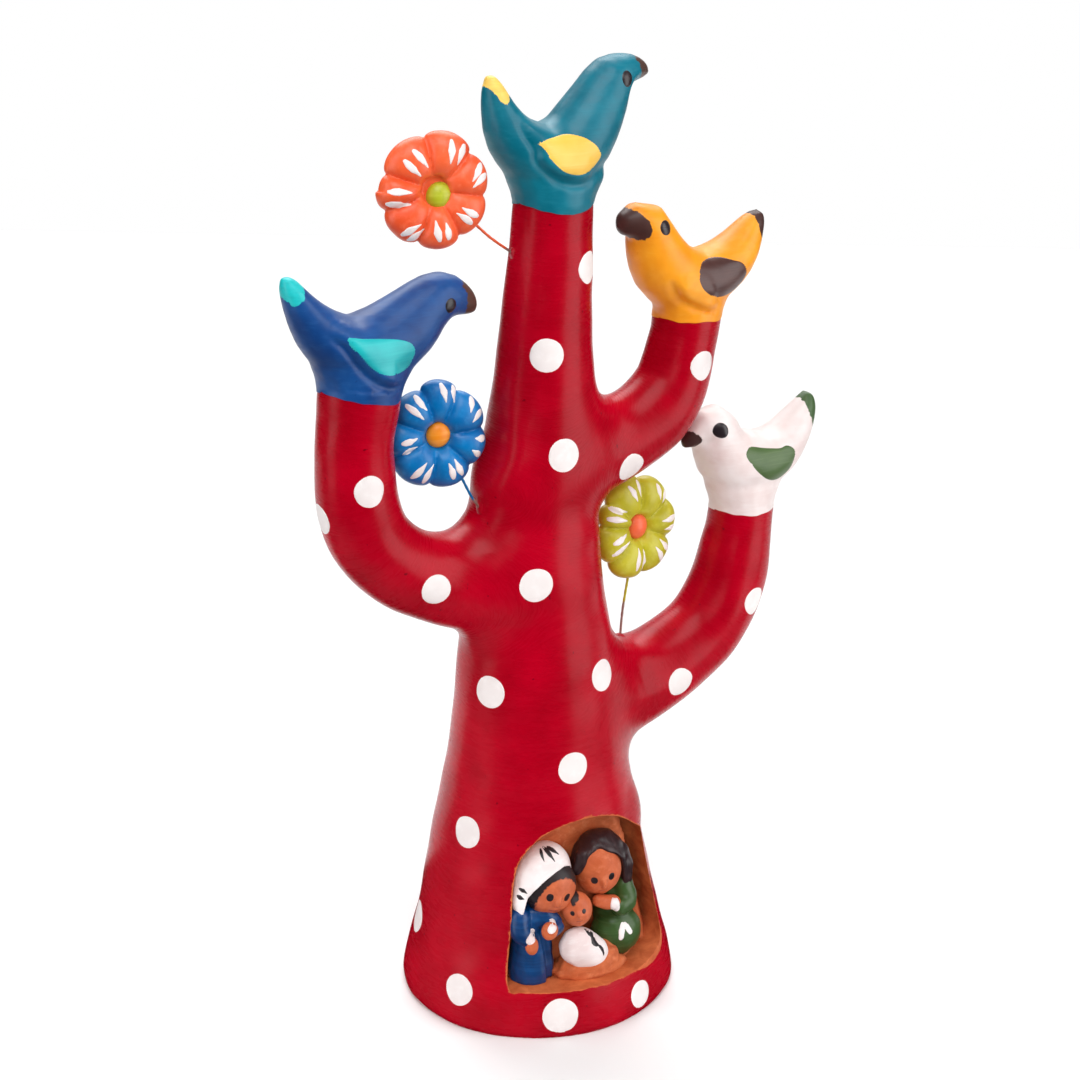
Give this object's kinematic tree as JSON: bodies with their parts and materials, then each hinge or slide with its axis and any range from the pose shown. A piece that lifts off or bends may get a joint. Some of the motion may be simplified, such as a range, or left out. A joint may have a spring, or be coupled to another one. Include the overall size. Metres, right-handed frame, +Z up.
{
  "type": "clay tree of life",
  "caption": "Painted clay candelabra tree with birds on its branch tips, wire-stemmed flowers that spring when touched, and a nativity group in an arched niche at its foot.",
  "frame": {"origin": "centre of the flat underside of the foot", "axes": "+Z up the trunk; -Y out of the niche, the front; +X towards the side with two branches"},
  "size_m": [0.1491, 0.068, 0.2396],
  "materials": {
    "tree_red": "satin red acrylic paint on fired clay",
    "terracotta": "bare fired clay, matte",
    "teal": "satin acrylic paint on fired clay",
    "royal_blue": "satin acrylic paint on fired clay",
    "mango_yellow": "satin acrylic paint on fired clay",
    "chalk_white": "matte white acrylic paint on fired clay",
    "petal_orange": "satin acrylic paint on fired clay",
    "petal_blue": "satin acrylic paint on fired clay",
    "petal_lime": "satin acrylic paint on fired clay",
    "button_lime": "satin acrylic paint on fired clay",
    "button_orange": "satin acrylic paint on fired clay",
    "button_coral": "satin acrylic paint on fired clay",
    "navy": "satin acrylic paint on fired clay",
    "forest_green": "satin acrylic paint on fired clay",
    "hair_brown": "satin acrylic paint on fired clay",
    "iron_wire": "bare drawn iron wire"
  },
  "bodies": {
    "root": {"trunk": "tree_red", "left_branch": "tree_red", "upper_right_branch": "tree_red", "lower_right_branch": "tree_red", "base_slab": "terracotta", "niche_liner": "terracotta", "teal_bird": "teal", "blue_bird": "royal_blue", "yellow_bird": "mango_yellow", "white_bird": "chalk_white", "manger_mound": "terracotta", "baby_swaddle": "chalk_white", "baby_head": "terracotta", "mother_body": "navy", "mother_head": "terracotta", "mother_veil": "chalk_white", "mother_upper_hand": "terracotta", "mother_lower_hand": "terracotta", "father_body": "forest_green", "father_head": "terracotta", "father_hair": "hair_brown", "father_arm": "terracotta"},
    "orange_stem": {"orange_flower_stem": "iron_wire"},
    "orange_head": {"orange_flower_petals": "petal_orange", "orange_flower_button": "button_lime"},
    "blue_stem": {"blue_flower_stem": "iron_wire"},
    "blue_head": {"blue_flower_petals": "petal_blue", "blue_flower_button": "button_orange"},
    "lime_stem": {"lime_flower_stem": "iron_wire"},
    "lime_head": {"lime_flower_petals": "petal_lime", "lime_flower_button": "button_coral"}
  },
  "joints": [
    {"name": "orange_flower_nod", "type": "hinge", "parent": "root", "child": "orange_stem", "pos_m": [-0.0104, 0.001, 0.195], "axis": [0.9744, -0.225, 0], "range_deg": [-8, 8], "stiffness_Nm_per_rad": 0.3},
    {"name": "orange_flower_sway", "type": "hinge", "parent": "orange_stem", "child": "orange_head", "pos_m": [-0.02077, 0.00051, 0.2031], "axis": [-0.2241, -0.9707, 0.0872], "range_deg": [-6, 6], "stiffness_Nm_per_rad": 0.2},
    {"name": "blue_flower_nod", "type": "hinge", "parent": "root", "child": "blue_stem", "pos_m": [-0.0189, -0.002, 0.1326], "axis": [0.9903, -0.1392, 0], "range_deg": [-5, 5], "stiffness_Nm_per_rad": 0.3},
    {"name": "blue_flower_sway", "type": "hinge", "parent": "blue_stem", "child": "blue_head", "pos_m": [-0.02335, -0.00013, 0.14076], "axis": [-0.1388, -0.9879, 0.0698], "range_deg": [-3, 3], "stiffness_Nm_per_rad": 0.2},
    {"name": "lime_flower_nod", "type": "hinge", "parent": "root", "child": "lime_stem", "pos_m": [0.023, 0.0006, 0.0896], "axis": [0.9703, 0.2419, 0], "range_deg": [-6, 6], "stiffness_Nm_per_rad": 0.3},
    {"name": "lime_flower_sway", "type": "hinge", "parent": "lime_stem", "child": "lime_head", "pos_m": [0.02558, 0.00189, 0.10582], "axis": [0.2413, -0.9679, 0.0698], "range_deg": [-5, 3], "stiffness_Nm_per_rad": 0.2}
  ]
}
